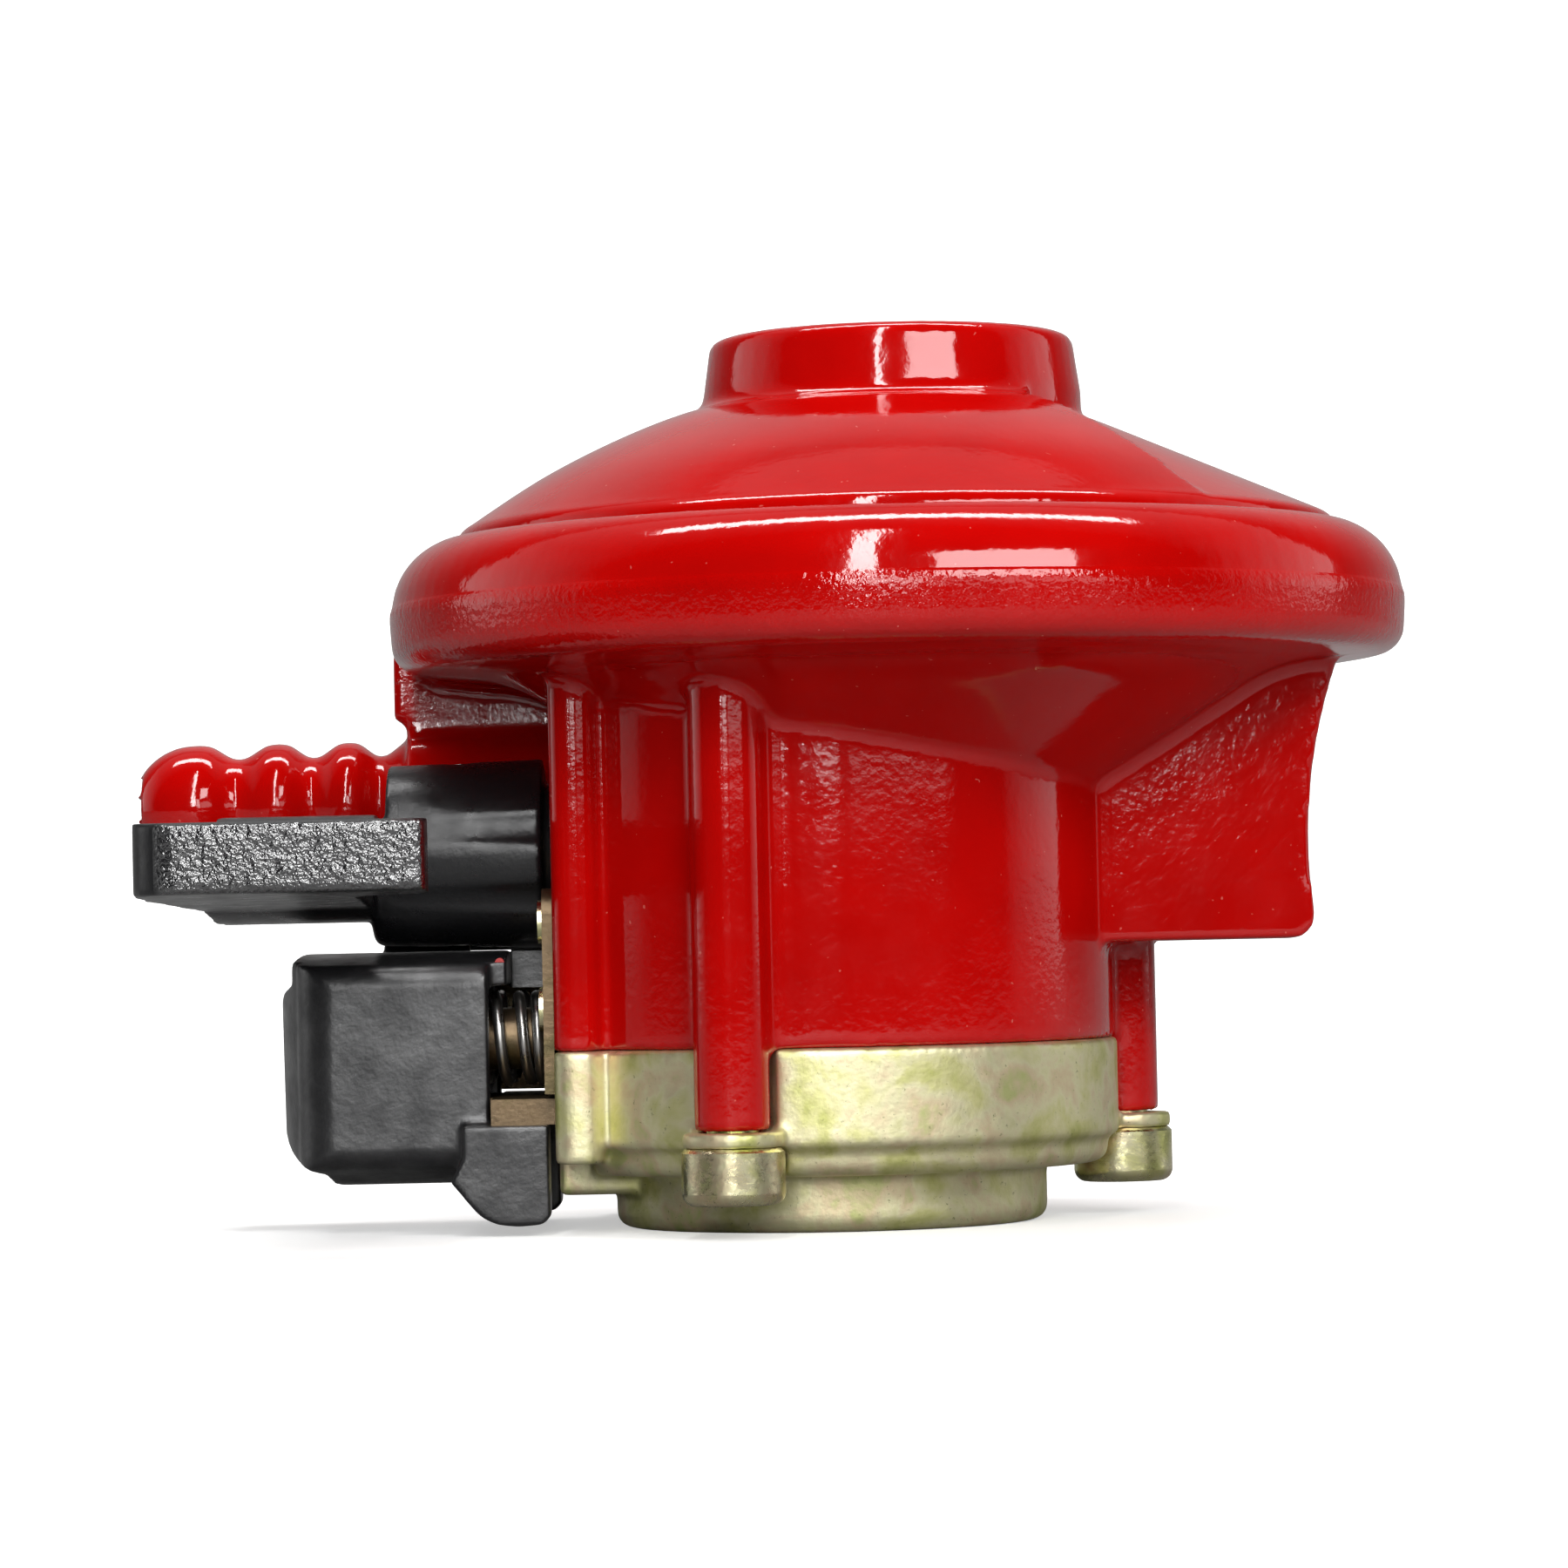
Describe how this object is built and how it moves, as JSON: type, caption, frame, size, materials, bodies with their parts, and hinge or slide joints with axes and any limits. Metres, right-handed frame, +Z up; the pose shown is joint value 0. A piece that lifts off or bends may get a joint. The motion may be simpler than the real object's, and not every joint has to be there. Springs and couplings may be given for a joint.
{
  "type": "clip-on gas pressure regulator",
  "caption": "Low-pressure clip-on gas regulator: round diaphragm housing on a barrel with push-button latch, quarter-turn tap lever, ribbed hose nozzle and valve socket.",
  "frame": {"origin": "centre of the collar's lower face, on the axis of the valve socket", "axes": "+Z up, away from the gas cylinder; -X towards the tap lever, push button and hose nozzle; the resting tap lever points to -Y"},
  "size_m": [0.1026, 0.0808, 0.0703],
  "materials": {
    "red_paint": "gloss",
    "yellow_zinc": "satin",
    "yellow_zinc_steel": "satin",
    "black_plastic": "satin",
    "red_plastic": "satin",
    "white_nylon": "satin",
    "brass": "satin",
    "rubber": "matte",
    "spring_steel": "satin"
  },
  "bodies": {
    "casing": {"body_casting": "red_paint", "bonnet": "red_paint", "vent_screen": "brass", "tamper_cap": "red_plastic", "diaphragm": "rubber", "base_ring": "yellow_zinc", "base_screws": "yellow_zinc_steel", "valve_seal_ring": "rubber", "guide_bush": "brass", "retainer_plate": "yellow_zinc_steel", "retainer_screws": "yellow_zinc_steel", "button_guide": "black_plastic", "spring_guides": "yellow_zinc_steel", "inlet_orifice": "brass", "pivot_pin": "spring_steel", "plunger_spring": "spring_steel", "button_springs": "spring_steel", "main_spring": "spring_steel"},
    "tap": {"tap_lever": "black_plastic", "cam_shaft": "brass", "lever_pin": "spring_steel", "shaft_o_ring": "rubber"},
    "plunger": {"inlet_plunger": "brass", "plunger_o_ring": "rubber", "inlet_filter": "brass"},
    "latch": {"push_button": "black_plastic", "button_pins": "spring_steel", "locking_plate": "yellow_zinc_steel", "interlock_pin": "red_plastic"},
    "diaphragm_group": {"diaphragm_plate": "spring_steel", "diaphragm_stem": "brass", "diaphragm_washer": "spring_steel", "stem_nut": "brass", "relief_spring": "spring_steel"},
    "valve_lever": {"regulating_lever": "spring_steel", "valve_pad": "rubber"},
    "adjuster": {"adjusting_screw": "white_nylon"}
  },
  "joints": [
    {"name": "tap_turn", "type": "hinge", "parent": "casing", "child": "tap", "pos_m": [-0.029, 0, 0.0298], "axis": [-1, 0, 0], "range_deg": [0, 90]},
    {"name": "plunger_slide", "type": "slide", "parent": "casing", "child": "plunger", "axis": [0, 0, -1], "range_m": [0, 0.0036], "deforming": ["plunger_spring"]},
    {"name": "button_press", "type": "slide", "parent": "casing", "child": "latch", "axis": [1, 0, 0], "range_m": [0, 0.003], "deforming": ["button_springs"]},
    {"name": "diaphragm_lift", "type": "slide", "parent": "casing", "child": "diaphragm_group", "axis": [0, 0, 1], "range_m": [0, 0.0016], "deforming": ["main_spring", "diaphragm"]},
    {"name": "lever_rock", "type": "hinge", "parent": "casing", "child": "valve_lever", "pos_m": [-0.006, 0, 0.0424], "axis": [0, -1, 0], "range_deg": [0, 7.6]},
    {"name": "adjuster_turn", "type": "hinge", "parent": "casing", "child": "adjuster", "pos_m": [0.0061, 0, 0.064], "axis": [0, 0, 1], "range_deg": [-180, 180]}
  ],
  "couplings": [
    {"joint": "plunger_slide", "follows": "tap_turn", "m_per_rad": 0.0022508},
    {"joint": "lever_rock", "follows": "diaphragm_lift", "rad_per_m": 82.645}
  ]
}
